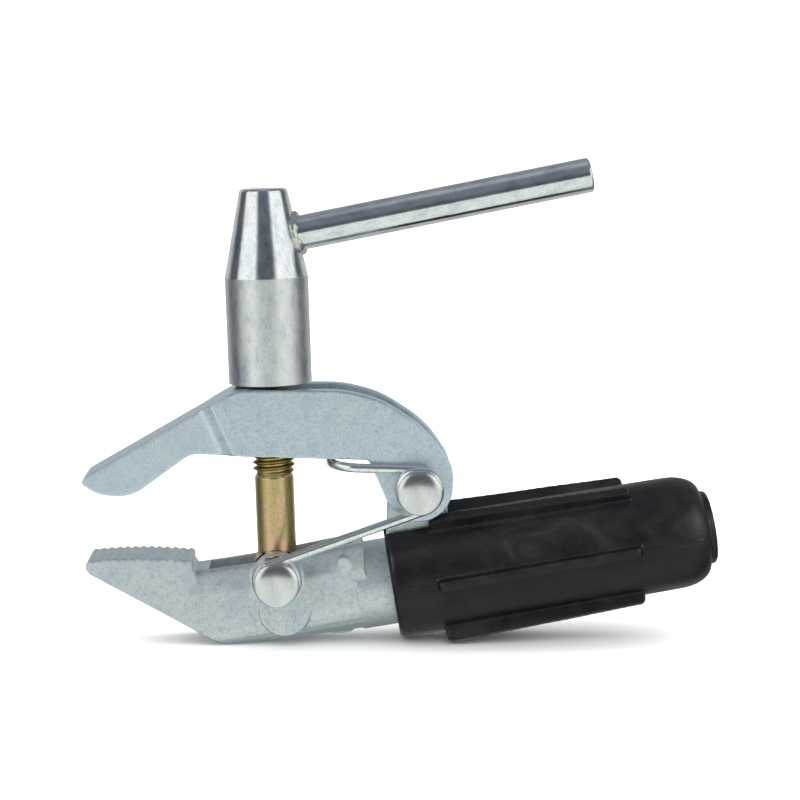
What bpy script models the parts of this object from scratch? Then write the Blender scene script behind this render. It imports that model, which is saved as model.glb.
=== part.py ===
"""Screw-type earth clamp for arc welding.

A cast lower jaw runs back into a cable socket under a rubber sleeve. A forked upper jaw turns on a
rivet through the casting's lug. A lever nut on a swing bolt closes the jaws against a torsion spring.

X runs along the clamp towards the handle, Z is up, and Y = 0 is the plane of symmetry. The origin is
under the middle of the clamp, on the surface that it stands on. Dimensions are in millimetres, and the
builders below turn them into metres.
"""

import math

import bmesh
import bpy
from mathutils import Matrix, Vector

MM = 0.001
GAP = 0.3                                   # clearance between neighbouring pieces

# pivots, as (x, z)
HINGE = (4.1, 45.6)
BOLT_PIVOT = (-36.0, 19.8)
RIVET_RADIUS = 3.75
RIVET_HOLE = 4.1
RIVET_HEAD_RADIUS = 6.45
RIVET_HEAD_HEIGHT = 2.5
NEAR_HEAD = -18.5                           # the underside of both heads on the spring's side

# upper jaw
FORK_INNER = 6.4
FORK_OUTER = 11.2
ARM_HALF_WIDTH = 9.0
EYE_RADIUS_OF_FORK = 9.7

# swing bolt and lever nut; heights are measured along the bolt from its pivot
BOLT_TILT = math.radians(1.75)              # the bolt leans towards the jaw tips
THREAD_RADIUS = 5.95
SHANK_RADIUS = 5.55
THREAD_START = 27.5
BOLT_END = 90.0
EYE_RADIUS = 7.4
NUT_FOOT = 54.4
NUT_SHOULDER = 84.9
NUT_TOP = 109.7
NUT_RADIUS = 11.8
NUT_TOP_RADIUS = 6.7
NUT_BORE = 6.3
NUT_BORE_END = 101.5
RECESS_RADIUS, RECESS_DEPTH = 9.9, 0.85       # the washer's seat in the nut's foot

# lever bar
BAR_RADIUS = 4.95
BAR_RISE = math.radians(11.2)
BAR_FOOT = (-29.5, 116.85)
BAR_LENGTH = 84.4

# tail tube and handle sleeve, measured along the handle's axis
HANDLE_START = (-3.8, 16.65)
HANDLE_RISE = math.radians(9.3)
TUBE_RADIUS = 12.5
SOCKET_RADIUS = 8.5
TUBE_END = 54.0
SLEEVE_FRONT = 0.5
SLEEVE_RADIUS_FRONT = 16.9
SLEEVE_RADIUS_REAR = 16.2
SLEEVE_END = 92.0
COLLAR_RADIUS = 10.6
COLLAR_END = 94.2
CABLE_HOLE = 8.7
RIB_START, RIB_END = 13.5, 71.5
RIB_TIP_FRONT, RIB_TIP_REAR = 21.1, 19.3
RIB_COUNT = 6
NOTCH_HALF_WIDTH = 6.9
NOTCH_REAR = 21.6

# lower jaw
PAD_HALF_WIDTH = 9.0
PAD_FRONT, PAD_REAR = -90.1, -60.1
PAD_TOP = 24.8
PAD_CROWN = 0.8
TOOTH_COUNT = 13
TOOTH_DEPTH = 0.55
TOOTH_CREST = 0.7
SLOT_HALF_WIDTH = 6.4
BOSS_FACE = 11.9                            # the casting's face under the lower rivet's far head
LUG_HALF_WIDTH = 6.0
LUG_RADIUS = 8.3

# spring
WIRE_RADIUS = 1.35
COIL_RADIUS = 5.55
COIL_INNER = 12.8                           # Y of the coil's turn next to the fork
COIL_PITCH = 2.9
BOW_RADIUS = 7.4                            # bend of the upper leg, where it turns under the cheeks
BOW_CORNER = (-13.2, 51.7)

MODEL = bpy.data.collections.new("earth_clamp")
TOOLS = bpy.data.collections.new("cutters")


# ---------------------------------------------------------------- outlines

def arc(centre, radius, start, end, steps=10):
    """Points on an arc about centre, with angles in degrees from +X towards +Z."""
    angles = [math.radians(start + (end - start) * i / steps) for i in range(steps + 1)]
    return [(centre[0] + radius * math.cos(a), centre[1] + radius * math.sin(a)) for a in angles]


def rounded(corners, steps=None):
    """A closed outline whose corners (x, z, radius) are rounded; a corner without a radius stays sharp."""
    outline = []
    for i, corner in enumerate(corners):
        if len(corner) == 2:
            outline.append(corner)
            continue
        here = Vector(corner[:2])
        before = (Vector(corners[i - 1][:2]) - here).normalized()
        after = (Vector(corners[(i + 1) % len(corners)][:2]) - here).normalized()
        half = before.angle(after) / 2
        reach = corner[2] / math.tan(half)
        centre = here + (before + after).normalized() * corner[2] / math.sin(half)
        first = here + before * reach - centre
        turn = first.angle_signed(here + after * reach - centre)
        count = steps or max(2, math.ceil(abs(turn) / math.radians(4)))
        if corner[2] < 3 and not steps:
            count = max(2, count // 3)
        for k in range(count + 1):
            spoke = first.copy()
            spoke.rotate(Matrix.Rotation(-turn * k / count, 2))
            outline.append(tuple(centre + spoke))
    return outline


# ---------------------------------------------------------------- builders

def add(name, mesh, collection=MODEL):
    piece = bpy.data.objects.new(name, mesh)
    collection.objects.link(piece)
    return piece


def baked(source, matrix=Matrix()):
    """Replace an object by its evaluated mesh, welded, closed and moved by matrix."""
    name = source.name
    bpy.context.view_layer.update()
    evaluated = source.evaluated_get(bpy.context.evaluated_depsgraph_get())
    mesh = bpy.data.meshes.new_from_object(evaluated)
    mesh.transform(matrix @ source.matrix_world)
    collection = source.users_collection[0]
    bpy.data.objects.remove(source)
    bm = bmesh.new()
    bm.from_mesh(mesh)
    bmesh.ops.remove_doubles(bm, verts=bm.verts, dist=0.00001)
    bmesh.ops.recalc_face_normals(bm, faces=bm.faces)
    bm.to_mesh(mesh)
    bm.free()
    return add(name, mesh, collection)


def prism(name, outline, half_width, matrix=Matrix(), collection=MODEL):
    """An outline in the XZ plane, extruded to half_width on both sides."""
    curve = bpy.data.curves.new(name, "CURVE")
    curve.dimensions = "2D"
    curve.fill_mode = "BOTH"
    curve.extrude = half_width * MM
    spline = curve.splines.new("POLY")
    spline.points.add(len(outline) - 1)
    for point, (x, z) in zip(spline.points, outline):
        point.co = (x * MM, z * MM, 0.0, 1.0)
    spline.use_cyclic_u = True
    flat = add(name, curve, collection)
    flat.rotation_euler.x = math.pi / 2
    return baked(flat, matrix)


def turned(name, profile, steps=40, matrix=Matrix(), closed=False, collection=MODEL):
    """A profile of (radius, height) turned about Z, from its top down its outer side."""
    mesh = bpy.data.meshes.new(name)
    points = [(r * MM, 0.0, h * MM) for r, h in profile]
    edges = [(i, i + 1) for i in range(len(points) - 1)]
    if closed:
        edges.append((len(points) - 1, 0))
    mesh.from_pydata(points, edges, [])
    piece = add(name, mesh, collection)
    screw = piece.modifiers.new("turn", "SCREW")
    screw.steps = screw.render_steps = steps
    screw.use_merge_vertices = True
    screw.merge_threshold = 0.00001
    return baked(piece, matrix)


def rod(name, radius, low, high, steps=40, matrix=Matrix(), collection=MODEL):
    return turned(name, [(0, high), (radius, high), (radius, low), (0, low)], steps, matrix,
                  collection=collection)


def loft(name, sections, collection=MODEL):
    """A skin through sections [(x, [(y, z), ...]), ...] with the same number of points."""
    mesh = bpy.data.meshes.new(name)
    bm = bmesh.new()
    loops = [[bm.verts.new((x * MM, y * MM, z * MM)) for y, z in ring] for x, ring in sections]
    count = len(loops[0])
    for one, other in zip(loops, loops[1:]):
        for i in range(count):
            j = (i + 1) % count
            bm.faces.new((one[i], one[j], other[j], other[i]))
    bm.faces.new(loops[0])
    bm.faces.new(loops[-1])
    bmesh.ops.recalc_face_normals(bm, faces=bm.faces)
    bm.to_mesh(mesh)
    bm.free()
    return add(name, mesh, collection)


def combine(piece, operation, tool):
    """Add a Boolean by tool, which moves to the cutters' collection."""
    for collection in tool.users_collection:
        collection.objects.unlink(tool)
    TOOLS.objects.link(tool)
    tool.hide_render = True
    tool.display_type = "WIRE"
    boolean = piece.modifiers.new(tool.name, "BOOLEAN")
    boolean.operation = operation
    boolean.solver = "EXACT"
    boolean.object = tool


def wire(name, points, radius):
    """A round wire with closed ends through points (x, y, z)."""
    curve = bpy.data.curves.new(name, "CURVE")
    curve.dimensions = "3D"
    curve.bevel_depth = radius * MM
    curve.bevel_resolution = 2
    curve.use_fill_caps = True
    curve.render_resolution_u = 0
    spline = curve.splines.new("POLY")
    spline.points.add(len(points) - 1)
    for point, place in zip(spline.points, points):
        point.co = (*(c * MM for c in place), 1.0)
    return baked(add(name, curve))


def finish(piece, colour, roughness, metallic, pivot=None, parent=None):
    """Give a piece its material and smooth shading, and put its origin at pivot (x, z)."""
    material = bpy.data.materials.new(piece.name)
    material.use_nodes = True
    shader = material.node_tree.nodes["Principled BSDF"]
    shader.inputs["Base Color"].default_value = (*colour, 1.0)
    shader.inputs["Roughness"].default_value = roughness
    shader.inputs["Metallic"].default_value = metallic
    piece.data.materials.clear()
    piece.data.materials.append(material)
    piece.data.shade_smooth()
    piece.data.set_sharp_from_angle(angle=math.radians(35))
    if pivot:
        place = Vector((pivot[0] * MM, 0.0, pivot[1] * MM))
        piece.data.transform(Matrix.Translation(-place))
        piece.location = place
    if parent:
        bpy.context.view_layer.update()
        piece.parent = parent
        piece.matrix_parent_inverse = parent.matrix_world.inverted()


def zinc(piece, pivot=None, parent=None):
    finish(piece, (0.62, 0.66, 0.67), 0.35, 1.0, pivot, parent)


# ---------------------------------------------------------------- frames

def frame(x, z, rise):
    """Local Z runs along the XZ plane at rise above +X, and local X points up from it."""
    along = Vector((math.cos(rise), 0.0, math.sin(rise)))
    up = Vector((-math.sin(rise), 0.0, math.cos(rise)))
    side = along.cross(up)
    matrix = Matrix((up, side, along)).transposed().to_4x4()
    matrix.translation = (x * MM, 0.0, z * MM)
    return matrix


HANDLE = frame(*HANDLE_START, HANDLE_RISE)
BOLT = frame(*BOLT_PIVOT, math.pi / 2 + BOLT_TILT)
BAR = frame(*BAR_FOOT, BAR_RISE)


def across(x, z):
    """Local Z runs along world Y through (x, z)."""
    return Matrix.Translation((x * MM, 0.0, z * MM)) @ Matrix.Rotation(-math.pi / 2, 4, "X")


def below_handle(along):
    """Local Z points out of the handle's underside, at a distance along its axis."""
    return HANDLE @ Matrix.Translation((0, 0, along * MM)) @ Matrix.Rotation(-math.pi / 2, 4, "Y")


# ---------------------------------------------------------------- lower jaw

def pad_teeth():
    """The pad's crowned row of teeth, from its rear edge to its nose."""
    pitch = (PAD_REAR - PAD_FRONT) / TOOTH_COUNT
    middle = (PAD_REAR + PAD_FRONT) / 2
    half = (PAD_REAR - PAD_FRONT) / 2
    edge = (pitch - TOOTH_CREST) / 2
    outline = []
    for i in range(TOOTH_COUNT):
        centre = PAD_REAR - pitch * (i + 0.5)
        crest = PAD_TOP + PAD_CROWN * (1 - ((centre - middle) / half) ** 2)
        outline += [(centre + TOOTH_CREST / 2, crest), (centre - TOOTH_CREST / 2, crest)]
        if i < TOOTH_COUNT - 1:
            outline.append((centre - TOOTH_CREST / 2 - edge, crest - TOOTH_DEPTH))
    return outline


def jaw_side():
    """The casting's side view, from the lip's rear end round by the pad, nose and underside."""
    lip = [(-11.6, 29.7), (-43.8, 23.4), (-58.6, 21.5)]
    step = [(PAD_REAR, 22.0), (PAD_REAR, PAD_TOP - 0.6)]
    nose = [(PAD_FRONT, PAD_TOP - 0.9), (PAD_FRONT, 22.3), (-89.2, 21.0)]
    under = rounded([(-89.2, 21.0), (-51.4, 0.0, 4.0), (-46.4, 0.0, 12.0), (-10.2, 3.9)])[1:-1]
    return lip + step + pad_teeth() + nose + under + [(-10.2, 3.9)]


def body_section(half_width, bottom, top, belly, lean):
    """A section of the channel: rounded below, and leaning in by lean to full round shoulders."""
    corners = [(-half_width, bottom, belly), (half_width, bottom, belly), (half_width, top - 6.5, 5.0),
               (half_width - lean, top, 2.4), (lean - half_width, top, 2.4), (-half_width, top - 6.5, 5.0)]
    return rounded(corners, 6)


def lower_jaw():
    body = loft("lower_jaw", [
        (-63.0, body_section(9.0, -1.9, 20.9, 3.0, 0.8)),
        (-50.0, body_section(9.8, -0.6, 22.6, 5.0, 1.4)),
        (-30.0, body_section(10.9, 1.0, 26.0, 8.0, 2.0)),
        (-10.6, body_section(11.9, 3.7, 29.8, 10.0, 2.4)),
    ])
    combine(body, "UNION", prism("pad_block", rounded([(-95, 30), (-59.4, 30), (-59.4, -4), (-95, -4)]),
                                 PAD_HALF_WIDTH))
    combine(body, "INTERSECT", prism("side_view", jaw_side(), 20))
    combine(body, "UNION", rod("tail_tube", TUBE_RADIUS, -9.5, TUBE_END, 56, HANDLE))
    combine(body, "UNION", prism("lug", lug_outline(), LUG_HALF_WIDTH))
    for x, z, radius, reach in ((*BOLT_PIVOT, 7.1, BOSS_FACE), (-33.9, 10.5, 7.25, BOSS_FACE - 0.2),
                                (-17.2, 24.2, 2.0, 11.75)):
        combine(body, "UNION", rod("side_boss", radius, -reach, reach, 36, across(x, z)))
    combine(body, "UNION", rod("under_boss", 4.4, 2.2, 6.0, 28, Matrix.Translation((-18.6 * MM, 0, 0))))
    combine(body, "DIFFERENCE", prism("bolt_channel", channel_outline(), SLOT_HALF_WIDTH))
    for name, place in (("bolt_pin_hole", BOLT_PIVOT), ("hinge_pin_hole", HINGE)):
        combine(body, "DIFFERENCE", rod(name, RIVET_HOLE, -25, 25, 40, across(*place)))
    combine(body, "DIFFERENCE", rod("cable_socket", SOCKET_RADIUS, 2.0, TUBE_END + 5, 48, HANDLE))
    for along in CABLE_SCREWS:
        combine(body, "DIFFERENCE", rod("set_screw_hole", 4.2, 4, 16, 28, below_handle(along)))
    combine(body, "DIFFERENCE", rod("sleeve_screw_hole", 2.2, 4, 16, 20, below_handle(SLEEVE_SCREW)))
    zinc(body)


def lug_outline():
    """The hinge lug rises from the tail tube to the hinge."""
    x, z = HINGE
    return [(x - LUG_RADIUS - 0.6, 24.0)] + arc(HINGE, LUG_RADIUS, 180, 0, 24) + [(x + LUG_RADIUS + 0.6, 26.0)]


def channel_outline():
    """The trough in which the bolt's eye turns, open at the top."""
    return rounded([(-55.4, 45), (-55.4, 13.0, 3.0), (-48.0, 8.4, 4.0), (-25.0, 8.4, 4.0),
                    (-14.5, 16.0, 3.0), (-14.5, 45)], 4)


# ---------------------------------------------------------------- upper jaw

def upper_jaw_side():
    """The jaw's side view: nose, contact edge, waist, underside, hinge eye and back."""
    front = [(-91.05, 46.9, 1.0), (-86.2, 43.75, 9.0), (-77.2, 42.9, 12.0), (-60.2, 55.2, 7.0),
             (-10.0, 53.6, 1.2)]
    eye = arc(HINGE, EYE_RADIUS_OF_FORK, 200, 358, 30)
    back = [(13.9, 51.5, 9.0), (7.0, 61.9, 30.0), (-6.5, 70.8, 30.0), (-17.5, 73.4, 30.0), (-46.9, 73.6, 12.0),
            (-90.4, 48.7, 2.2)]
    return rounded(front + eye + back)


def joggle(side):
    """What is cut from the blank beside the arm, so that the fork stands wider than the arm."""
    plan = [(-100, ARM_HALF_WIDTH), (-54.4, ARM_HALF_WIDTH, 4.0), (-50.6, FORK_OUTER + 0.2),
            (-50.6, 20), (-100, 20)]
    # the plan is extruded along the crease, which leans back towards its foot
    lean = Matrix.Translation((0, 0, 62 * MM)) @ Matrix.Shear("XY", 4, (-0.445, 0.0))
    flat = Matrix.Rotation(-math.pi / 2 * side, 4, "X")
    return prism("joggle", rounded(plan, 4), 40, lean @ flat)


def upper_jaw():
    jaw = prism("upper_jaw", upper_jaw_side(), FORK_OUTER)
    for side in (1, -1):
        combine(jaw, "DIFFERENCE", joggle(side))
    roof = [(-84.0, 35), (-84.0, 45.9, 1.0), (-51.0, 65.6, 2.0), (-45.0, 65.6), (-45.0, 35)]
    combine(jaw, "DIFFERENCE", prism("arm_channel", rounded(roof, 4), 4.2))
    slot = rounded([(-47.6, -FORK_INNER, 4.0), (30, -FORK_INNER), (30, FORK_INNER), (-47.6, FORK_INNER, 4.0)])
    upright = Matrix.Translation((0, 0, 60 * MM)) @ Matrix.Rotation(math.pi / 2, 4, "X")
    combine(jaw, "DIFFERENCE", prism("fork_slot", slot, 40, upright))
    combine(jaw, "DIFFERENCE", rod("hinge_hole", RIVET_HOLE, -25, 25, 32, across(*HINGE)))
    zinc(jaw, HINGE)


# ---------------------------------------------------------------- fasteners

def rivet(name, place, far_head):
    """A rivet along Y, with a shallow domed head at each end."""
    dome = [(RIVET_HEAD_RADIUS * math.cos(a), RIVET_HEAD_HEIGHT - 1.4 + 1.4 * math.sin(a))
            for a in (math.radians(d) for d in (80, 60, 40, 20, 0))]
    head = [(0, RIVET_HEAD_HEIGHT)] + dome + [(RIVET_HEAD_RADIUS, 0.25), (RIVET_HEAD_RADIUS - 0.25, 0),
                                             (RIVET_RADIUS, 0)]
    profile = [(r, far_head + h) for r, h in head] + [(r, NEAR_HEAD - h) for r, h in reversed(head)]
    zinc(turned(name, profile, 36, across(*place)), place)


def rivet_spacer():
    """The ring that keeps the lower rivet's near head clear of the spring's leg."""
    inner, outer = -BOSS_FACE - GAP, -15.0
    ring = [(4.1, inner), (7.0, inner), (7.0, outer + 0.3), (6.7, outer), (4.1, outer)]
    zinc(turned("rivet_spacer", ring, 36, across(*BOLT_PIVOT), closed=True), BOLT_PIVOT)


def set_screw(name, along):
    """A socket set screw in the tail tube, with its hexagon socket facing out."""
    outer, inner = 12.3, 5.9
    profile = [(0, outer), (3.3, outer), (3.9, outer - 0.6), (3.9, inner + 0.9), (2.9, inner), (0, inner)]
    screw = turned(name, profile, 28, below_handle(along))
    combine(screw, "DIFFERENCE", rod("hexagon", 2.3, 8.6, 15, 6, below_handle(along)))
    finish(screw, (0.12, 0.12, 0.13), 0.4, 1.0)


def cable_saddle():
    """The pressure plate between the set screws and the cable."""
    plate = prism("cable_saddle", rounded([(-5.6, 15.0, 1.5), (-5.6, 42.0, 1.5), (-4.0, 42.0), (-4.0, 15.0)], 4),
                  5.2, HANDLE)
    finish(plate, (0.75, 0.55, 0.35), 0.35, 1.0)


def sleeve_screw():
    """The pan-head screw that holds the sleeve on the tail tube."""
    profile = [(0, 16.0), (2.6, 15.9), (3.4, 15.2), (3.5, 14.4), (1.9, 14.4), (1.9, 10.0), (1.2, 9.2), (0, 9.2)]
    screw = turned("sleeve_screw", profile, 28, below_handle(SLEEVE_SCREW))
    for turn in (0, math.pi / 2):
        blade = prism("cross_slot", [(-2.0, 15.0), (2.0, 15.0), (2.0, 17.0), (-2.0, 17.0)], 0.4,
                      below_handle(SLEEVE_SCREW) @ Matrix.Rotation(turn, 4, "Z"))
        combine(screw, "DIFFERENCE", blade)
    zinc(screw)


# ---------------------------------------------------------------- bolt and nut

def swing_bolt(axis):
    """The eye bolt: eye on the lower rivet, plain shank, thread up to its end."""
    stem = [(0, BOLT_END), (THREAD_RADIUS - 1.2, BOLT_END), (THREAD_RADIUS, BOLT_END - 1.2),
            (THREAD_RADIUS, THREAD_START), (SHANK_RADIUS, THREAD_START - 0.8), (SHANK_RADIUS, 4), (0, 4)]
    bolt = turned("swing_bolt", stem, 36, BOLT)
    combine(bolt, "UNION", rod("bolt_eye", EYE_RADIUS, -6.0, 6.0, 40, across(*BOLT_PIVOT)))
    combine(bolt, "DIFFERENCE", rod("bolt_eye_hole", RIVET_HOLE, -10, 10, 32, across(*BOLT_PIVOT)))
    finish(bolt, (0.55, 0.42, 0.20), 0.35, 1.0, BOLT_PIVOT, axis)


def thrust_washer(axis):
    low, high = NUT_FOOT - 0.26, NUT_FOOT + RECESS_DEPTH - GAP
    outer = RECESS_RADIUS - GAP
    ring = [(6.4, high), (outer, high), (outer, low), (6.4, low)]
    washer = turned("thrust_washer", ring, 36, BOLT, closed=True)
    finish(washer, (0.06, 0.06, 0.065), 0.5, 1.0, BOLT_PIVOT, axis)


def lever_nut(axis):
    """Cylinder below, cone above, with a recess for the washer and a blind threaded bore from below."""
    outer = [(0, NUT_TOP), (NUT_TOP_RADIUS - 1.1, NUT_TOP), (NUT_TOP_RADIUS - 0.3, NUT_TOP - 0.3),
             (NUT_TOP_RADIUS, NUT_TOP - 1.1), (NUT_RADIUS - 0.1, NUT_SHOULDER + 0.5),
             (NUT_RADIUS, NUT_SHOULDER - 0.3), (NUT_RADIUS, NUT_FOOT + 0.5), (NUT_RADIUS - 0.5, NUT_FOOT)]
    seat = NUT_FOOT + RECESS_DEPTH
    bore = [(RECESS_RADIUS, NUT_FOOT), (RECESS_RADIUS, seat), (NUT_BORE + 0.6, seat), (NUT_BORE, seat + 0.6),
            (NUT_BORE, NUT_BORE_END - 3.4), (0, NUT_BORE_END)]
    finish(turned("lever_nut", outer + bore, 48, BOLT), (0.70, 0.71, 0.70), 0.22, 1.0, BOLT_PIVOT, axis)


def lever_bar(axis):
    """The bar, with its foot shaped to the cone and its far end chamfered."""
    profile = [(0, BAR_LENGTH), (BAR_RADIUS - 0.8, BAR_LENGTH), (BAR_RADIUS, BAR_LENGTH - 0.8),
               (BAR_RADIUS, -3.0), (0, -3.0)]
    bar = turned("lever_bar", profile, 36, BAR)
    cope = [(0, NUT_TOP), (NUT_TOP_RADIUS + GAP, NUT_TOP), (NUT_RADIUS + GAP, NUT_SHOULDER), (0, NUT_SHOULDER)]
    combine(bar, "DIFFERENCE", turned("cone_cope", cope, 48, BOLT))
    finish(bar, (0.68, 0.70, 0.70), 0.25, 1.0, BOLT_PIVOT, axis)


# ---------------------------------------------------------------- handle sleeve

def rib_outline():
    """A rib's side view along the handle, with local X as its height."""
    return rounded([(15.0, RIB_START), (RIB_TIP_FRONT, RIB_START, 1.6), (RIB_TIP_REAR, RIB_END, 1.6),
                    (15.0, RIB_END)], 4)


def handle_sleeve():
    front, rear = SLEEVE_RADIUS_FRONT, SLEEVE_RADIUS_REAR
    dome = [(COLLAR_RADIUS + 0.6 + (rear - COLLAR_RADIUS - 0.6) * math.cos(a),
             SLEEVE_END - 9.0 + 9.0 * math.sin(a)) for a in (math.radians(d) for d in range(90, -1, -15))]
    collar = [(CABLE_HOLE, COLLAR_END), (COLLAR_RADIUS - 0.7, COLLAR_END), (COLLAR_RADIUS, COLLAR_END - 0.7),
              (COLLAR_RADIUS, SLEEVE_END)]
    mouth = [(front, SLEEVE_FRONT + 0.9), (front - 0.9, SLEEVE_FRONT)]
    cavity = [(TUBE_RADIUS + GAP, SLEEVE_FRONT), (TUBE_RADIUS + GAP, TUBE_END + GAP), (CABLE_HOLE, TUBE_END + GAP)]
    sleeve = turned("handle_sleeve", collar + dome + mouth + cavity, 60, HANDLE, closed=True)
    for i in range(RIB_COUNT):
        turn = Matrix.Rotation(math.radians(30 + 60 * i), 4, "Z")
        combine(sleeve, "UNION", prism("rib", rib_outline(), 1.4, HANDLE @ turn))
    # the ribs next to the lug are hollowed so that the fork's eyes can turn
    combine(sleeve, "DIFFERENCE", rod("fork_relief", EYE_RADIUS_OF_FORK + 0.45, -13, 13, 48, across(*HINGE)))
    room = rounded([(SLEEVE_FRONT - 5, -NOTCH_HALF_WIDTH), (NOTCH_REAR, -NOTCH_HALF_WIDTH, 2.5),
                    (NOTCH_REAR, NOTCH_HALF_WIDTH, 2.5), (SLEEVE_FRONT - 5, NOTCH_HALF_WIDTH)])
    from_above = Matrix(((0, 1, 0, 21 * MM), (0, 0, 1, 0), (1, 0, 0, 0), (0, 0, 0, 1)))
    opening = prism("lug_notch", room, 11, HANDLE @ from_above)
    combine(sleeve, "DIFFERENCE", opening)
    combine(sleeve, "DIFFERENCE", rod("screw_pocket", 3.9, 14.1, 25, 28, below_handle(SLEEVE_SCREW)))
    combine(sleeve, "DIFFERENCE", rod("screw_hole", 2.2, 10, 15, 20, below_handle(SLEEVE_SCREW)))
    finish(sleeve, (0.015, 0.015, 0.016), 0.45, 0.0)


# ---------------------------------------------------------------- spring

def tangent_angles():
    """Where the lower leg leaves the coil, and where it lies on the lower rivet."""
    span = Vector(BOLT_PIVOT) - Vector(HINGE)
    rest_radius = RIVET_RADIUS + WIRE_RADIUS + GAP
    heading = math.atan2(span.y, span.x)
    swing = math.acos((COIL_RADIUS + rest_radius) / span.length)
    leave = heading + swing
    return leave, leave + math.pi, rest_radius


def jaw_spring():
    """A torsion spring on the near side: a leg on the lower rivet, a coil, and a leg under both cheeks."""
    leave, rest, rest_radius = tangent_angles()
    foot = Vector(BOLT_PIVOT) + rest_radius * Vector((math.cos(rest), math.sin(rest)))
    start = Vector(HINGE) + COIL_RADIUS * Vector((math.cos(leave), math.sin(leave)))
    along = (foot - start).normalized()
    turns = 1 + ((math.radians(92) - leave) % (2 * math.pi)) / (2 * math.pi)
    outer = COIL_INNER + turns * COIL_PITCH
    points = [(*(foot + along * 1.8), -outer), (*foot, -outer), (*((foot + start) / 2), -outer)]
    steps = round(turns * 24)
    for i in range(steps + 1):
        angle = leave + turns * 2 * math.pi * i / steps
        points.append((HINGE[0] + COIL_RADIUS * math.cos(angle), HINGE[1] + COIL_RADIUS * math.sin(angle),
                       (COIL_INNER - outer) * i / steps * -1 - outer))
    points.append((-5.0, 51.4, -COIL_INNER))
    for i in range(9):
        angle = math.pi / 2 * i / 8
        points.append((BOW_CORNER[0] - BOW_RADIUS * math.sin(angle), BOW_CORNER[1] + 0.7 * i / 8,
                       BOW_RADIUS * (1 - math.cos(angle)) - COIL_INNER))
    points.append((BOW_CORNER[0] - BOW_RADIUS, BOW_CORNER[1] + 0.7, FORK_OUTER - 1.0))
    centre_line = [(x, y, z) for x, z, y in points]
    finish(wire("jaw_spring", centre_line, WIRE_RADIUS), (0.66, 0.68, 0.69), 0.25, 1.0)


# ---------------------------------------------------------------- assembly

CABLE_SCREWS = (20.0, 36.0)
SLEEVE_SCREW = 47.0


def bolt_axis():
    """An empty on the bolt's pivot, whose Z is the bolt's axis."""
    axis = add("bolt_axis", None)
    axis.matrix_world = BOLT
    return axis


def build():
    for old in list(bpy.data.objects):
        bpy.data.objects.remove(old)
    for collection in (MODEL, TOOLS):
        bpy.context.scene.collection.children.link(collection)
    lower_jaw()
    upper_jaw()
    rivet("hinge_rivet", HINGE, FORK_OUTER + GAP)
    rivet("bolt_rivet", BOLT_PIVOT, BOSS_FACE + GAP)
    rivet_spacer()
    axis = bolt_axis()
    swing_bolt(axis)
    thrust_washer(axis)
    lever_nut(axis)
    lever_bar(axis)
    jaw_spring()
    handle_sleeve()
    for name, along in zip(("cable_screw_front", "cable_screw_rear"), CABLE_SCREWS):
        set_screw(name, along)
    cable_saddle()
    sleeve_screw()


build()
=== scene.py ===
"""Looks of the screw-type earth clamp: turned steel, a real thread, a sprung wire and plated castings.

Lengths are in millimetres in the row frame, and the helpers turn them into metres.
"""

import math

import bmesh
import bpy
from mathutils import Matrix, Vector, noise

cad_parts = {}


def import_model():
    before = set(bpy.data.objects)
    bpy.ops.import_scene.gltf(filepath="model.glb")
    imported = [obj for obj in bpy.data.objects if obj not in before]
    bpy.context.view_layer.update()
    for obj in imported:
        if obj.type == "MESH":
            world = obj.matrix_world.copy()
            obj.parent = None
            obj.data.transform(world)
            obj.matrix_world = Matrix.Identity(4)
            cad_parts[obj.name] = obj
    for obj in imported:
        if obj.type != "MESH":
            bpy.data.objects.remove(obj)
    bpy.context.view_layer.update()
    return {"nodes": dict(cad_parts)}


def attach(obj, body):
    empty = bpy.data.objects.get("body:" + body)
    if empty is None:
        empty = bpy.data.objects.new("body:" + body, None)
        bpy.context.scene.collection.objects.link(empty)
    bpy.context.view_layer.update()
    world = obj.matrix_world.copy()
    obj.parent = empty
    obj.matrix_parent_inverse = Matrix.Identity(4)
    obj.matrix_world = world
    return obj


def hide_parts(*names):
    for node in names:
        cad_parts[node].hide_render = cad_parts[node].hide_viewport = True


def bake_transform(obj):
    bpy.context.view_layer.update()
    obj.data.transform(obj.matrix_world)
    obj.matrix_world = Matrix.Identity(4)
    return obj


MM = 0.001
HINGE = (4.1, 45.6)
BOLT_PIVOT = (-36.0, 19.8)
BOLT_TILT = math.radians(1.75)
HANDLE_START = (-3.8, 16.65)
HANDLE_RISE = math.radians(9.3)
BAR_FOOT = (-29.5, 116.85)
BAR_RISE = math.radians(11.2)
BAR_RADIUS = 4.95
BAR_LENGTH = 84.4
NUT_FOOT, NUT_SHOULDER, NUT_TOP = 54.4, 84.9, 109.7
NUT_RADIUS, NUT_TOP_RADIUS = 11.8, 6.7
NUT_BORE, NUT_BORE_END = 6.2, 101.5
THREAD_RADIUS, THREAD_ROOT = 5.98, 4.95
THREAD_PITCH = 1.75
THREAD_START, BOLT_END = 27.5, 90.0
SHANK_RADIUS = 5.55
EYE_RADIUS = 7.4
RECESS_RADIUS, RECESS_DEPTH = 9.9, 0.85
LAMP_DISTANCE = 0.9                         # in metres


# ---------------------------------------------------------------- frames

def frame_at(x, z, rise):
    """Local Z runs at rise above +X in the XZ plane, and local X points up from it."""
    along = Vector((math.cos(rise), 0.0, math.sin(rise)))
    up = Vector((-math.sin(rise), 0.0, math.cos(rise)))
    matrix = Matrix((up, along.cross(up), along)).transposed().to_4x4()
    matrix.translation = (x * MM, 0.0, z * MM)
    return matrix


def across(x, z):
    """Local Z runs along world Y through (x, z)."""
    return Matrix.Translation((x * MM, 0.0, z * MM)) @ Matrix.Rotation(-math.pi / 2, 4, "X")


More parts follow.
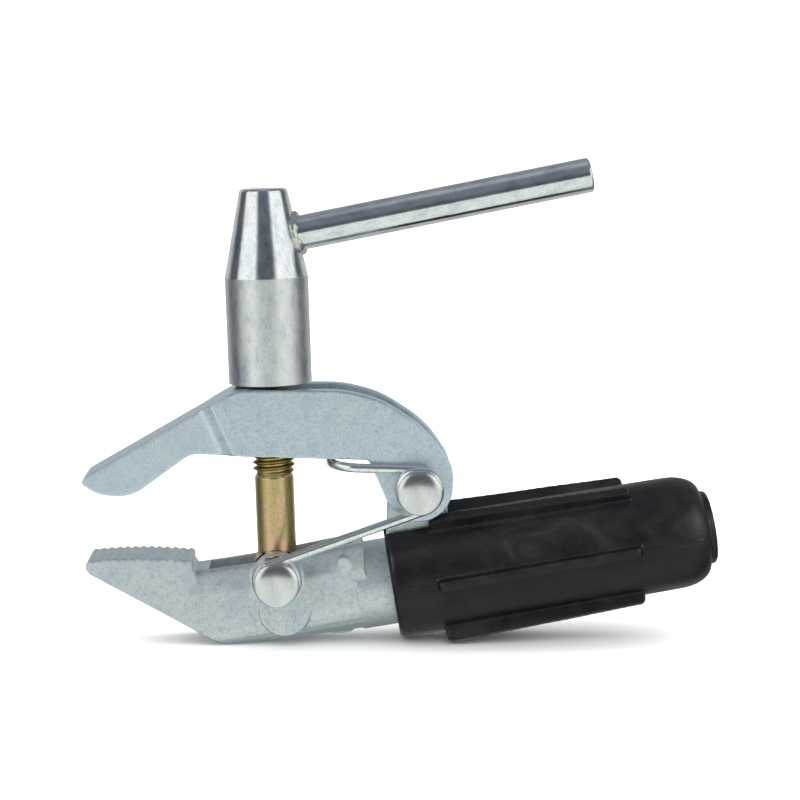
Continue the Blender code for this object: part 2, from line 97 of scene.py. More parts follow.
HANDLE = frame_at(*HANDLE_START, HANDLE_RISE)
BOLT = frame_at(*BOLT_PIVOT, math.pi / 2 + BOLT_TILT)
BAR = frame_at(*BAR_FOOT, BAR_RISE)


# ---------------------------------------------------------------- meshes

def fillet(points, steps=6):
    """An open run of (x, y) or (x, y, radius), with the corners that have a radius rounded."""
    run = [tuple(points[0][:2])]
    for before, corner, after in zip(points, points[1:], points[2:]):
        if len(corner) == 2:
            run.append(corner)
            continue
        here = Vector(corner[:2])
        back = (Vector(before[:2]) - here).normalized()
        ahead = (Vector(after[:2]) - here).normalized()
        half = back.angle(ahead) / 2
        first = here + back * corner[2] / math.tan(half)
        centre = here + (back + ahead).normalized() * corner[2] / math.sin(half)
        spoke = first - centre
        turn = math.pi - 2 * half
        if spoke.angle_signed(ahead) > 0:
            turn = -turn
        for k in range(steps + 1):
            arm = spoke.copy()
            arm.rotate(Matrix.Rotation(turn * k / steps, 2))
            run.append(tuple(centre + arm))
    run.append(tuple(points[-1][:2]))
    return run


def as_object(name, bm, matrix=Matrix(), sharp=40):
    mesh = bpy.data.meshes.new(name)
    bmesh.ops.recalc_face_normals(bm, faces=bm.faces)
    bm.to_mesh(mesh)
    bm.free()
    mesh.shade_smooth()
    mesh.set_sharp_from_angle(angle=math.radians(sharp))
    piece = bpy.data.objects.new(name, mesh)
    bpy.context.scene.collection.objects.link(piece)
    piece.matrix_world = matrix
    return piece


def lathe(name, profile, matrix, steps=112, closed=False):
    """(radius, height) points turned about local Z; a radius of 0 closes on the axis."""
    bm = bmesh.new()
    rings = []
    for radius, height in profile:
        if radius < 1e-6:
            rings.append([bm.verts.new((0, 0, height * MM))])
            continue
        rings.append([bm.verts.new((radius * MM * math.cos(a), radius * MM * math.sin(a), height * MM))
                      for a in (2 * math.pi * i / steps for i in range(steps))])
    pairs = list(zip(rings, rings[1:])) + ([(rings[-1], rings[0])] if closed else [])
    for one, other in pairs:
        for i in range(steps):
            j = (i + 1) % steps
            corners = [one[i % len(one)], one[j % len(one)], other[j % len(other)], other[i % len(other)]]
            bm.faces.new(list(dict.fromkeys(corners)))
    return as_object(name, bm, matrix)


def tube(name, path, radius, sides=20, closed=False, matrix=Matrix()):
    """A round section carried along path (x, y, z); radius is a number or a function of the step."""
    bm = bmesh.new()
    spots = [Vector(p) * MM for p in path]
    count = len(spots)
    size = radius if callable(radius) else lambda k: radius
    ahead = [(spots[(k + 1) % count] - spots[k - 1]) if closed or 0 < k < count - 1 else
             (spots[1] - spots[0] if k == 0 else spots[-1] - spots[-2]) for k in range(count)]
    side = ahead[0].orthogonal().normalized()
    rings = []
    for k, (spot, way) in enumerate(zip(spots, ahead)):
        way = way.normalized()
        side = (side - way * side.dot(way)).normalized()
        up = way.cross(side)
        rings.append([bm.verts.new(spot + (side * math.cos(a) + up * math.sin(a)) * size(k) * MM)
                      for a in (2 * math.pi * i / sides for i in range(sides))])
    pairs = list(zip(rings, rings[1:]))
    if closed:
        turn = min(range(sides), key=lambda s: (rings[0][s].co - rings[-1][0].co).length)
        pairs.append((rings[-1], rings[0][turn:] + rings[0][:turn]))
    for one, other in pairs:
        for i in range(sides):
            j = (i + 1) % sides
            bm.faces.new((one[i], one[j], other[j], other[i]))
    if not closed:
        bm.faces.new(rings[0])
        bm.faces.new(rings[-1])
    return as_object(name, bm, matrix)


def thread_ridge(name, matrix):
    """The ridge of the bolt's thread, wound round its root and tapering out at both ends."""
    bm = bmesh.new()
    per_turn = 56
    turns = (BOLT_END - THREAD_START - 1.6) / THREAD_PITCH
    steps = int(turns * per_turn)
    inner, outer = THREAD_ROOT - 0.12, THREAD_RADIUS
    rings = []
    for k in range(steps + 1):
        grown = min(1.0, k / (per_turn * 0.7), (steps - k) / (per_turn * 0.5) + 0.02)
        crest = inner + 0.15 + (outer - inner - 0.15) * max(0.02, grown)
        angle = 2 * math.pi * k / per_turn
        middle = THREAD_START + 0.9 + THREAD_PITCH * k / per_turn
        section = [(inner, -0.80), (THREAD_ROOT, -0.74), (crest, -0.13), (crest, 0.13), (THREAD_ROOT, 0.74),
                   (inner, 0.80)]
        rings.append([bm.verts.new((r * math.cos(angle) * MM, r * math.sin(angle) * MM, (middle + h) * MM))
                      for r, h in section])
    for one, other in zip(rings, rings[1:]):
        for i in range(6):
            j = (i + 1) % 6
            bm.faces.new((one[i], one[j], other[j], other[i]))
    bm.faces.new(rings[0])
    bm.faces.new(rings[-1])
    return as_object(name, bm, matrix, sharp=25)


def join(name, pieces):
    """One object from several that share a place."""
    with bpy.context.temp_override(active_object=pieces[0], selected_editable_objects=pieces):
        bpy.ops.object.join()
    pieces[0].name = name
    return pieces[0]


def soften(node, voxel, passes, keep):
    """Give a CAD node the rounded edges of a casting, pressing or moulding."""
    weld = node.modifiers.new("weld", "WELD")
    weld.merge_threshold = 0.000005
    remesh = node.modifiers.new("skin", "REMESH")
    remesh.mode = "VOXEL"
    remesh.voxel_size = voxel * MM
    remesh.use_smooth_shade = True
    smooth = node.modifiers.new("soften", "SMOOTH")
    smooth.factor = 0.5
    smooth.iterations = passes
    thin = node.modifiers.new("thin", "DECIMATE")
    thin.ratio = keep


# ---------------------------------------------------------------- materials

class Look:
    """A Principled material whose texture coordinates are in millimetres."""

    def __init__(self, name, colour, roughness, metallic, **constants):
        self.material = bpy.data.materials.new(name)
        self.material.use_nodes = True
        self.tree = self.material.node_tree
        self.shader = self.tree.nodes["Principled BSDF"]
        self.set("Base Color", (*colour, 1.0))
        self.set("Roughness", roughness)
        self.set("Metallic", metallic)
        for socket, value in constants.items():
            self.set(socket.replace("_", " "), value)
        self.bump_out = None

    def set(self, socket, value):
        self.shader.inputs[socket].default_value = value

    def link(self, source, target):
        self.tree.links.new(source, target)

    def node(self, kind, **values):
        made = self.tree.nodes.new(kind)
        for key, value in values.items():
            setattr(made, key, value)
        return made

    def coords(self, scale=(1, 1, 1)):
        """Object coordinates in millimetres, stretched by scale."""
        where = self.node("ShaderNodeTexCoord")
        mapping = self.node("ShaderNodeMapping")
        mapping.inputs["Scale"].default_value = tuple(1000 * s for s in scale)
        self.link(where.outputs["Object"], mapping.inputs["Vector"])
        return mapping.outputs["Vector"]

    def noise(self, size, detail=4.0, rough=0.55, stretch=(1, 1, 1), distortion=0.0):
        """Noise whose features are about size millimetres across."""
        made = self.node("ShaderNodeTexNoise")
        made.inputs["Scale"].default_value = 1.0 / size
        made.inputs["Detail"].default_value = detail
        made.inputs["Roughness"].default_value = rough
        made.inputs["Distortion"].default_value = distortion
        self.link(self.coords(stretch), made.inputs["Vector"])
        return made.outputs["Fac"]

    def height(self, axis="Z"):
        """The object coordinate along one axis, in millimetres."""
        split = self.node("ShaderNodeSeparateXYZ")
        self.link(self.coords(), split.inputs["Vector"])
        return split.outputs[axis]

    def fit(self, value, low, high, to_low=0.0, to_high=1.0):
        made = self.node("ShaderNodeMapRange", interpolation_type="SMOOTHSTEP")
        for socket, number in (("From Min", low), ("From Max", high), ("To Min", to_low), ("To Max", to_high)):
            made.inputs[socket].default_value = number
        self.link(value, made.inputs["Value"])
        return made.outputs["Result"]

    def maths(self, operation, one, other):
        made = self.node("ShaderNodeMath", operation=operation)
        for socket, value in zip(made.inputs, (one, other)):
            if isinstance(value, (int, float)):
                socket.default_value = value
            else:
                self.link(value, socket)
        return made.outputs[0]

    def ramp(self, value, stops):
        made = self.node("ShaderNodeValToRGB")
        marks = made.color_ramp.elements
        while len(marks) < len(stops):
            marks.new(0.5)
        for mark, (place, colour) in zip(marks, stops):
            mark.position = place
            mark.color = (*colour, 1.0)
        self.link(value, made.inputs["Fac"])
        return made.outputs["Color"]

    def mix(self, factor, one, other, kind="MIX"):
        made = self.node("ShaderNodeMix", data_type="RGBA", blend_type=kind)
        for socket, value in ((made.inputs["Factor"], factor), (made.inputs[6], one), (made.inputs[7], other)):
            if isinstance(value, (int, float)):
                socket.default_value = value
            elif isinstance(value, tuple):
                socket.default_value = (*value, 1.0)
            else:
                self.link(value, socket)
        return made.outputs[2]

    def colour(self, output):
        self.link(output, self.shader.inputs["Base Color"])

    def roughness(self, output):
        self.link(output, self.shader.inputs["Roughness"])

    def bump(self, output, depth, strength=1.0):
        """Add relief of depth millimetres."""
        made = self.node("ShaderNodeBump")
        made.inputs["Strength"].default_value = strength
        made.inputs["Distance"].default_value = depth * MM
        self.link(output, made.inputs["Height"])
        if self.bump_out:
            self.link(self.bump_out, made.inputs["Normal"])
        self.bump_out = made.outputs["Normal"]
        self.link(self.bump_out, self.shader.inputs["Normal"])


def cast_zinc():
    """Zinc over a sand-cast skin: grey-blue, fine grained, mottled, with painted shade darkening the faces that
    point down.
    """
    look = Look("cast_zinc", (0.80, 0.88, 0.90), 0.5, 1.0)
    cloud = look.noise(9.0, 5, 0.6)
    mottle = look.noise(1.6, 5, 0.65, distortion=0.5)
    grain = look.noise(0.5, 4, 0.7)
    pits = look.noise(1.3, 6, 0.75)
    tone = look.ramp(cloud, [(0.25, (0.70, 0.81, 0.86)), (0.5, (0.86, 0.94, 0.96)), (0.75, (0.96, 1.0, 1.0))])
    tone = look.mix(look.fit(mottle, 0.30, 0.55, 0.34, 0.0), tone, (0.42, 0.50, 0.54))
    tone = look.mix(look.fit(grain, 0.30, 0.50, 0.42, 0.0), tone, (0.30, 0.335, 0.34))
    # painted shade: the colour darkens towards a dark blue-grey on faces whose normal points down
    down = look.node("ShaderNodeSeparateXYZ")
    look.link(look.node("ShaderNodeNewGeometry").outputs["Normal"], down.inputs["Vector"])
    tone = look.mix(look.fit(down.outputs["Z"], -0.95, -0.15, 0.62, 0.0), tone, (0.22, 0.27, 0.31))
    look.colour(tone)
    look.roughness(look.maths("ADD", look.fit(cloud, 0.3, 0.7, 0.46, 0.58),
                              look.fit(grain, 0.3, 0.7, 0.10, -0.02)))
    look.bump(pits, 0.18, 0.6)
    look.bump(grain, 0.05, 0.6)
    return look.material


def sheet_zinc():
    """Blue-white zinc on pressed steel, softly clouded, with a fine scuffed grain."""
    look = Look("sheet_zinc", (0.60, 0.66, 0.70), 0.36, 1.0)
    cloud = look.noise(5.0, 6, 0.62, distortion=0.6)
    grain = look.noise(0.5, 5, 0.7)
    scuff = look.noise(1.1, 4, 0.6, stretch=(0.25, 1, 1.6))
    tone = look.ramp(cloud, [(0.28, (0.60, 0.73, 0.83)), (0.5, (0.78, 0.90, 0.98)), (0.72, (0.92, 0.99, 1.0))])
    tone = look.mix(look.fit(grain, 0.34, 0.52, 0.45, 0.0), tone, (0.34, 0.40, 0.46))
    look.colour(look.mix(look.fit(scuff, 0.58, 0.75, 0.0, 0.4), tone, (0.82, 0.86, 0.87)))
    look.roughness(look.maths("ADD", look.fit(cloud, 0.3, 0.7, 0.32, 0.46),
                              look.fit(grain, 0.3, 0.7, 0.10, -0.02)))
    look.bump(scuff, 0.05, 0.5)
    look.bump(grain, 0.035, 0.5)
    return look.material


def turned_zinc(name, dull_below):
    """Bright zinc over lathe lines; below a height along the axis it is duller."""
    look = Look(name, (0.80, 0.82, 0.82), 0.16, 1.0)
    lines = look.noise(0.28, 3, 0.6, stretch=(0.02, 0.02, 1))
    stain = look.noise(2.6, 6, 0.65, stretch=(1, 1, 0.45))
    grain = look.noise(0.4, 4, 0.7)
    tone = look.ramp(stain, [(0.3, (0.55, 0.60, 0.68)), (0.48, (0.80, 0.83, 0.83)), (0.7, (0.93, 0.95, 0.92))])
    look.colour(look.mix(look.fit(grain, 0.30, 0.50, 0.50, 0.0), tone, (0.36, 0.39, 0.46)))
    dull = look.fit(look.height(), dull_below - 0.2, dull_below + 0.2, 0.17, 0.0)
    shine = look.maths("ADD", look.fit(stain, 0.3, 0.7, 0.09, 0.15), look.fit(grain, 0.3, 0.7, 0.05, 0.0))
    look.roughness(look.maths("ADD", shine, dull))
    mottle = look.noise(0.9, 5, 0.7, stretch=(1, 1, 0.6))
    look.bump(lines, 0.022, 0.8)
    look.bump(mottle, 0.03, 0.45)
    look.bump(stain, 0.05, 0.25)
    return look.material


def rivet_zinc():
    look = Look("rivet_zinc", (0.76, 0.78, 0.75), 0.2, 1.0)
    stain = look.noise(3.0, 6, 0.65, stretch=(1, 0.4, 1))
    grain = look.noise(0.35, 5, 0.7)
    tone = look.ramp(stain, [(0.3, (0.66, 0.68, 0.66)), (0.7, (0.84, 0.86, 0.83))])
    look.colour(look.mix(look.fit(grain, 0.3, 0.45, 0.3, 0.0), tone, (0.42, 0.44, 0.44)))
    look.roughness(look.fit(grain, 0.3, 0.7, 0.24, 0.16))
    look.bump(stain, 0.05, 0.25)
    look.bump(grain, 0.012, 0.5)
    return look.material


def spring_zinc():
    look = Look("spring_zinc", (0.80, 0.82, 0.81), 0.2, 1.0)
    drawn = look.noise(0.8, 4, 0.6)
    look.colour(look.ramp(drawn, [(0.3, (0.76, 0.79, 0.79)), (0.6, (0.96, 0.97, 0.95))]))
    look.roughness(look.fit(drawn, 0.3, 0.7, 0.27, 0.15))
    look.bump(drawn, 0.012, 0.5)
    return look.material


def yellow_zinc(name, colours, roughness):
    """Yellow chromate, whose tint drifts between gold, green and rose."""
    look = Look(name, colours[1], roughness, 1.0)
    drift = look.noise(3.4, 4, 0.6, stretch=(1, 1, 0.3), distortion=1.2)
    grain = look.noise(0.35, 5, 0.7)
    places = [0.30 + 0.4 * k / (len(colours) - 1) for k in range(len(colours))]
    tone = look.ramp(drift, list(zip(places, colours)))
    look.colour(look.mix(look.fit(grain, 0.3, 0.48, 0.45, 0.0), tone, (0.16, 0.12, 0.05)))
    look.roughness(look.fit(grain, 0.3, 0.7, roughness + 0.1, roughness - 0.05))
    look.bump(grain, 0.015, 0.5)
    return look.material


def rubber():
    """Moulded black rubber with a soft, uneven sheen."""
    look = Look("black_rubber", (0.006, 0.006, 0.007), 0.4, 0.0, Specular_IOR_Level=0.27)
    bloom = look.noise(9.0, 6, 0.62, stretch=(0.6, 1, 1), distortion=0.8)
    grain = look.noise(0.45, 4, 0.65)
    tone = look.ramp(bloom, [(0.3, (0.003, 0.003, 0.004)), (0.55, (0.006, 0.006, 0.007)),
                             (0.8, (0.014, 0.014, 0.016))])
    look.colour(look.mix(look.fit(grain, 0.6, 0.75, 0.0, 0.3), tone, (0.030, 0.030, 0.034)))
    look.roughness(look.maths("ADD", look.fit(bloom, 0.35, 0.7, 0.30, 0.50),
                              look.fit(grain, 0.3, 0.7, -0.03, 0.05)))
    look.bump(bloom, 0.45, 0.45)
    look.bump(grain, 0.03, 0.5)
    return look.material


def black_oxide():
    look = Look("black_oxide", (0.05, 0.05, 0.055), 0.38, 1.0)
    grain = look.noise(0.5, 5, 0.7)
    look.colour(look.ramp(grain, [(0.3, (0.03, 0.03, 0.034)), (0.7, (0.10, 0.10, 0.108))]))
    look.roughness(look.fit(grain, 0.3, 0.7, 0.45, 0.3))
    look.bump(grain, 0.015, 0.5)
    return look.material


def brass():
    look = Look("saddle_brass", (0.72, 0.52, 0.25), 0.32, 1.0)
    tarnish = look.noise(2.2, 5, 0.65)
    look.colour(look.ramp(tarnish, [(0.3, (0.48, 0.32, 0.14)), (0.7, (0.80, 0.60, 0.30))]))
    look.roughness(look.fit(tarnish, 0.3, 0.7, 0.42, 0.25))
    look.bump(tarnish, 0.02, 0.4)
    return look.material


def weld_zinc():
    look = Look("weld_zinc", (0.74, 0.77, 0.70), 0.3, 1.0)
    lump = look.noise(0.9, 5, 0.65)
    look.colour(look.ramp(lump, [(0.3, (0.50, 0.54, 0.44)), (0.7, (0.86, 0.88, 0.80))]))
    look.roughness(look.fit(lump, 0.3, 0.7, 0.42, 0.2))
    look.bump(lump, 0.12, 0.6)
    return look.material


def paint(piece, material):
    """Own pieces carry the material on their mesh, and CAD nodes on their object's slot."""
    if piece.name in frame["nodes"]:
        piece.material_slots[0].link = "OBJECT"
        piece.material_slots[0].material = material
    else:
        piece.data.materials.clear()
        piece.data.materials.append(material)


def place(piece, body, slot, material, *nodes):
    """Paint a new piece, let it ride on a body, and let it stand for CAD nodes."""
    paint(piece, material)
    if body:
        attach(piece, body)
    if nodes:
        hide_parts(*nodes)


# ---------------------------------------------------------------- pieces

def rivet(name, pivot, far_head):
    """A rivet along Y, with a shallow domed head at each end."""
    near_head, reach, radius, crown = -18.5, 2.5, 6.35, 1.35
    dome = [(radius * math.sin(a), reach - crown + crown * math.cos(a))
            for a in (math.radians(6 * k) for k in range(1, 16))]
    head = [(0, reach)] + dome + [(radius, 0.5), (radius - 0.12, 0.15), (radius - 0.4, 0.0), (3.75, 0.0)]
    profile = [(r, far_head + h) for r, h in head] + [(r, near_head - h) for r, h in reversed(head)]
    piece = lathe(name + "_turned", profile, across(*pivot))
    place(piece, "lower", "rivet_steel", ZINC_RIVET, name)


def spacer():
    ring = fillet([(4.1, -12.2), (7.0, -12.2, 0.25), (7.0, -15.0, 0.45), (4.1, -15.0)], 4)
    place(lathe("rivet_spacer_turned", ring, across(*BOLT_PIVOT), closed=True), "lower", "rivet_steel",
          ZINC_RIVET, "rivet_spacer")


def bolt():
    """Stem with its root cylinder, the thread's ridge, and the eye."""
    stem = fillet([(0, BOLT_END), (THREAD_ROOT, BOLT_END, 0.5), (THREAD_ROOT, THREAD_START + 1.2, 0.8),
                   (SHANK_RADIUS, THREAD_START + 0.2, 0.6), (SHANK_RADIUS, 4.5), (0, 4.4)])
    shank = lathe("bolt_stem", stem, BOLT)
    eye_ring = fillet([(4.1, 6.0), (EYE_RADIUS, 6.0, 1.0), (EYE_RADIUS, -6.0, 1.0), (4.1, -6.0)], 6)
    eye = lathe("bolt_eye", eye_ring, across(*BOLT_PIVOT), closed=True)
    place(shank, "bolt", "yellow_zinc", CHROMATE, "swing_bolt")
    place(eye, "bolt", "yellow_zinc", CHROMATE)
    place(thread_ridge("bolt_thread", BOLT), "bolt", "yellow_zinc", CHROMATE_DARK)


def washer():
    """The thin ring in the recess of the nut's foot: a real washer, whose black edge below the nut is also
    painted shade, standing in for the shadow line under the nut.
    """
    low, high, outer = NUT_FOOT - 0.26, NUT_FOOT + RECESS_DEPTH - 0.3, RECESS_RADIUS - 0.3
    ring = fillet([(6.4, high), (outer, high, 0.12), (outer, low, 0.12), (6.4, low)], 3)
    piece = lathe("thrust_washer_turned", ring, BOLT, closed=True)
    # black finish: its thin edge below the nut is painted shade for the shadow line there
    place(piece, "washer", "black_steel", BLACK, "thrust_washer")


def lever_nut():
    """Cylinder below, cone above, a recess for the washer and a blind bore."""
    outer = fillet([(0, NUT_TOP), (NUT_TOP_RADIUS, NUT_TOP, 1.1), (NUT_RADIUS, NUT_SHOULDER, 2.0),
                    (NUT_RADIUS, NUT_FOOT, 0.5), (RECESS_RADIUS, NUT_FOOT)], 8)
    seat = NUT_FOOT + RECESS_DEPTH
    bore = [(RECESS_RADIUS, seat), (NUT_BORE + 0.7, seat), (NUT_BORE, seat + 0.7),
            (NUT_BORE, NUT_BORE_END - 3.4), (0, NUT_BORE_END)]
    place(lathe("lever_nut_turned", outer + bore, BOLT, 160), "nut", "nut_steel",
          turned_zinc("nut_zinc", NUT_SHOULDER), "lever_nut")


def cone_radius(height):
    """The nut's radius at a height on its cone."""
    share = (height - NUT_SHOULDER) / (NUT_TOP - NUT_SHOULDER)
    return NUT_RADIUS + (NUT_TOP_RADIUS - NUT_RADIUS) * share


def lever_bar():
    """The round bar, whose foot runs into the cone under the weld bead."""
    profile = fillet([(0, BAR_LENGTH), (BAR_RADIUS, BAR_LENGTH, 0.9), (BAR_RADIUS, -2.0), (0, -2.0)], 6)
    piece = lathe("lever_bar_turned", profile, BAR)
    place(piece, "nut", "bar_steel", turned_zinc("bar_zinc", -50.0), "lever_bar")


def weld_bead():
    """A lumpy fillet round the bar's foot, on the nut's cone."""
    to_nut = BOLT.inverted() @ BAR
    path = []
    for k in range(72):
        angle = 2 * math.pi * k / 72
        low, high = -6.0, 14.0
        for _ in range(30):
            middle = (low + high) / 2
            rim = Vector((BAR_RADIUS * math.cos(angle), BAR_RADIUS * math.sin(angle), middle))
            spot = to_nut @ (rim * MM) / MM
            if math.hypot(spot.x, spot.y) < cone_radius(spot.z):
                low = middle
            else:
                high = middle
        wander = 0.25 * noise.noise(Vector((k * 0.5, 3.0, 0.0)))
        path.append((BAR_RADIUS * math.cos(angle), BAR_RADIUS * math.sin(angle), middle + 0.1 + wander))
    size = [1.25 + 0.5 * noise.noise(Vector((math.cos(k / 72 * 2 * math.pi) * 2.6,
                                             math.sin(k / 72 * 2 * math.pi) * 2.6, 7.0))) for k in range(72)]
    bead = tube("weld_bead", path, lambda k: size[k], 16, closed=True, matrix=BAR)
    place(bead, "nut", "bar_steel", weld_zinc())


def spring():
    """The wire: leg on the lower rivet, coil on the hinge rivet, bend and bow under the cheeks."""
    wire, coil, inner, pitch = 1.35, 5.55, -12.8, 2.9
    rest_radius = 3.75 + wire + 0.3
    span = Vector(BOLT_PIVOT) - Vector(HINGE)
    leave = math.atan2(span.y, span.x) + math.acos((coil + rest_radius) / span.length)
    foot = Vector(BOLT_PIVOT) - rest_radius * Vector((math.cos(leave), math.sin(leave)))
    start = Vector(HINGE) + coil * Vector((math.cos(leave), math.sin(leave)))
    along = (foot - start).normalized()
    turns = 1 + ((math.radians(92) - leave) % (2 * math.pi)) / (2 * math.pi)
    outer = inner - turns * pitch
    path = [(foot + along * (1.8 - 1.8 * k / 4), outer) for k in range(4)]
    path += [(foot + (start - foot) * k / 16, outer) for k in range(16)]
    steps = round(turns * 60)
    for k in range(steps + 1):
        angle = leave + turns * 2 * math.pi * k / steps
        share = k / steps
        eased = share + 0.04 * math.sin(2 * math.pi * share)
        path.append((Vector(HINGE) + coil * Vector((math.cos(angle), math.sin(angle))),
                     outer + (inner - outer) * eased))
    corner, bow = Vector((-13.2, 51.7)), 7.4
    end = path[-1][0]
    path += [(end + (corner - end) * k / 12, inner) for k in range(1, 12)]
    for k in range(19):
        angle = math.pi / 2 * k / 18
        path.append((corner + Vector((-bow * math.sin(angle), 0.7 * k / 18)),
                     inner + bow * (1 - math.cos(angle))))
    path += [(path[-1][0], inner + bow + (10.2 - inner - bow) * k / 8) for k in range(1, 9)]
    spots = [(p.x, y, p.y) for p, y in path]
    last = len(spots) - 1
    piece = tube("jaw_spring_wire", spots, lambda k: wire - (0.2 if k in (0, last) else 0.0), 24)
    place(piece, None, "spring_wire", spring_zinc(), "jaw_spring")
    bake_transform(piece)


def sleeve_radius(along):
    """The sleeve's outer radius at a distance along the handle, dome included."""
    if along <= 83.0:
        return 16.9 - 0.7 * along / 83.0
    lift = math.sqrt(max(0.0, 1 - ((along - 83.0) / 9.0) ** 2))
    return 11.2 + 5.0 * lift


def parting_lines(material):
    """The mould's seam, a fine raised line along both sides of the sleeve."""
    for name, side in (("seam_near", -1), ("seam_far", 1)):
        stops = [0.9 + 82.1 * k / 30 for k in range(31)] + [83.0 + 8.9 * math.sin(math.radians(6 * k))
                                                            for k in range(1, 15)]
        path = [(0.0, -side * (sleeve_radius(s) - 0.12), s) for s in stops]
        seam = tube(name, path, lambda k: 0.28, 8, matrix=HANDLE)
        place(seam, "lower", "sleeve_rubber", material)


# ---------------------------------------------------------------- studio

def world():
    """White for sight and soft light; in reflections, a dim room with two softboxes and a pale table.

    turn is the bearing from the front, positive towards +X, and lift the height, both in degrees.
    """
    made = bpy.data.worlds.new("studio")
    bpy.context.scene.world = made
    made.use_nodes = True
    tree = made.node_tree
    tree.nodes.clear()

    def node(kind, **values):
        item = tree.nodes.new(kind)
        for key, value in values.items():
            setattr(item, key, value)
        return item

    def maths(operation, one, other=0.0):
        item = node("ShaderNodeMath", operation=operation)
        for socket, value in zip(item.inputs, (one, other)):
            if isinstance(value, (int, float)):
                socket.default_value = value
            else:
                tree.links.new(value, socket)
        return item.outputs[0]

    def step(value, low, high):
        item = node("ShaderNodeMapRange", interpolation_type="SMOOTHSTEP")
        item.inputs["From Min"].default_value = low
        item.inputs["From Max"].default_value = high
        tree.links.new(value, item.inputs["Value"])
        return item.outputs["Result"]

    split = node("ShaderNodeSeparateXYZ")
    tree.links.new(node("ShaderNodeTexCoord").outputs["Generated"], split.inputs["Vector"])
    x, y, z = split.outputs
    front = maths("MULTIPLY", y, -1.0)
    turn = maths("MULTIPLY", maths("ARCTAN2", x, front), 180 / math.pi)
    lift = maths("MULTIPLY", maths("ARCSINE", z), 180 / math.pi)
    spread = maths("ABSOLUTE", turn)

    def below_step(value, low, high):
        return maths("SUBTRACT", 1.0, step(value, low, high))

    # the right softbox reaches a little further round than the left one
    reach = maths("ABSOLUTE", maths("ADD", turn, -4.0))
    boxes = maths("MULTIPLY", step(spread, 22, 34), below_step(reach, 82, 96))
    boxes = maths("MULTIPLY", boxes, below_step(lift, 34, 50))
    table = below_step(lift, -2.0, 0.5)
    steep = below_step(lift, -85, -65)

    def blend(factor, one, other):
        item = node("ShaderNodeMix", data_type="RGBA")
        tree.links.new(factor, item.inputs["Factor"])
        for socket, value in ((item.inputs[6], one), (item.inputs[7], other)):
            if isinstance(value, tuple):
                socket.default_value = (*value, 1.0)
            else:
                tree.links.new(value, socket)
        return item.outputs[2]

    room = blend(step(lift, 12, 36), (0.10, 0.11, 0.125), (0.17, 0.19, 0.23))
    room = blend(step(lift, 60, 84), room, (0.38, 0.41, 0.46))
    wall = blend(step(lift, 20, 40), (0.58, 0.60, 0.60), (0.27, 0.28, 0.30))
    above = blend(boxes, room, (1.08, 1.10, 1.10))
    above = blend(maths("MULTIPLY", step(spread, 112, 138), below_step(lift, 66, 84)), above, wall)
    below = blend(step(spread, 42, 100), (0.84, 0.88, 0.86), (0.14, 0.15, 0.16))
    below = blend(step(spread, 118, 146), below, (0.52, 0.53, 0.53))
    below = blend(steep, below, (0.80, 0.83, 0.81))
    seen = blend(table, above, below)
    path = node("ShaderNodeLightPath")
    # only what reflects sees the studio: soft light and the backdrop are plain white
    lit = blend(path.outputs["Is Diffuse Ray"], seen, (2.2, 2.2, 2.2))
    final = blend(path.outputs["Is Camera Ray"], lit, (1.0, 1.0, 1.0))
    shine = node("ShaderNodeBackground")
    tree.links.new(final, shine.inputs["Color"])
    tree.links.new(shine.outputs["Background"], node("ShaderNodeOutputWorld").inputs["Surface"])


def floor():
    """A plain white floor that reaches the horizon, and that metal doesn't mirror."""
    bm = bmesh.new()
    bmesh.ops.create_circle(bm, cap_ends=True, radius=30.0, segments=64)
    ground = as_object("floor", bm)
    ground.visible_glossy = False
    look = Look("floor_white", (0.93, 0.93, 0.93), 0.9, 0.0, Specular_IOR_Level=0.0)
    ground.data.materials.append(look.material)


def softbox(name, turn, lift, size, power, lit):
    """A lamp that gives the sleeve its sheen, and lights nothing else."""
    lamp = bpy.data.lights.new(name, "AREA")
    lamp.size = size
    lamp.energy = power
    holder = bpy.data.objects.new(name, lamp)
    bpy.context.scene.collection.objects.link(holder)
    turn, lift = math.radians(turn), math.radians(lift)
    way = Vector((math.sin(turn) * math.cos(lift), -math.cos(turn) * math.cos(lift), math.sin(lift)))
    holder.location = way * LAMP_DISTANCE + Vector((0, 0, 0.06))
    holder.rotation_euler = way.to_track_quat("Z", "Y").to_euler()
    holder.light_linking.receiver_collection = lit


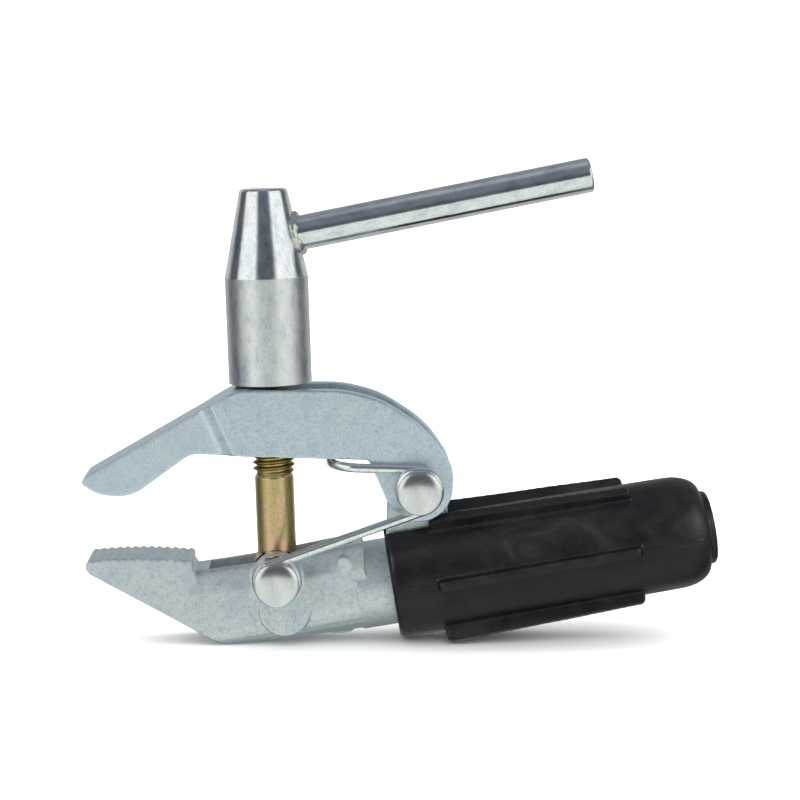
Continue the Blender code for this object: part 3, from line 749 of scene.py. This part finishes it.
def camera():
    """At the photograph's viewing angle: a little to the left, looking slightly down."""
    turn, drop, distance = math.radians(2.0), math.radians(7.6), 0.614
    way = Vector((math.sin(turn) * math.cos(drop), math.cos(turn) * math.cos(drop), -math.sin(drop)))
    lens = bpy.data.cameras.new("camera")
    lens.lens = 96.75
    lens.sensor_width = 36.0
    lens.clip_start = 0.01
    holder = bpy.data.objects.new("camera", lens)
    bpy.context.scene.collection.objects.link(holder)
    holder.location = Vector((-0.0008, 0.0, 0.0692)) - way * distance
    holder.rotation_euler = (-way).to_track_quat("Z", "Y").to_euler()
    bpy.context.scene.camera = holder


# ---------------------------------------------------------------- assembly

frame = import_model()
ZINC_RIVET = rivet_zinc()
CHROMATE = yellow_zinc("chromate", [(0.44, 0.36, 0.12), (0.70, 0.50, 0.20), (0.60, 0.52, 0.24),
                                    (0.86, 0.52, 0.36), (0.74, 0.40, 0.22)], 0.24)
CHROMATE_DARK = yellow_zinc("chromate_dark", [(0.20, 0.17, 0.05), (0.42, 0.34, 0.12), (0.30, 0.28, 0.12)], 0.28)
BLACK = black_oxide()

rivet("hinge_rivet", HINGE, 11.5)
rivet("bolt_rivet", BOLT_PIVOT, 12.2)
spacer()
bolt()
washer()
lever_nut()
lever_bar()
weld_bead()
spring()

RUBBER = rubber()
parting_lines(RUBBER)
for node_name, material in (("lower_jaw", cast_zinc()), ("upper_jaw", sheet_zinc()), ("handle_sleeve", RUBBER),
                            ("cable_screw_front", BLACK), ("cable_screw_rear", BLACK),
                            ("cable_saddle", brass()), ("sleeve_screw", ZINC_RIVET)):
    paint(frame["nodes"][node_name], material)
soften(frame["nodes"]["lower_jaw"], 0.34, 3, 0.35)
soften(frame["nodes"]["upper_jaw"], 0.32, 6, 0.35)
soften(frame["nodes"]["handle_sleeve"], 0.42, 5, 0.35)

world()
floor()
sheen = bpy.data.collections.new("sheen")
for node_name in ("handle_sleeve", "seam_near", "seam_far"):
    sheen.objects.link(bpy.data.objects[node_name])
softbox("lamp_left", -48, 42, 0.5, 4.0, sheen)
softbox("lamp_right", 62, 24, 0.3, 2.6, sheen)
camera()
bpy.context.scene.view_settings.view_transform = "Standard"
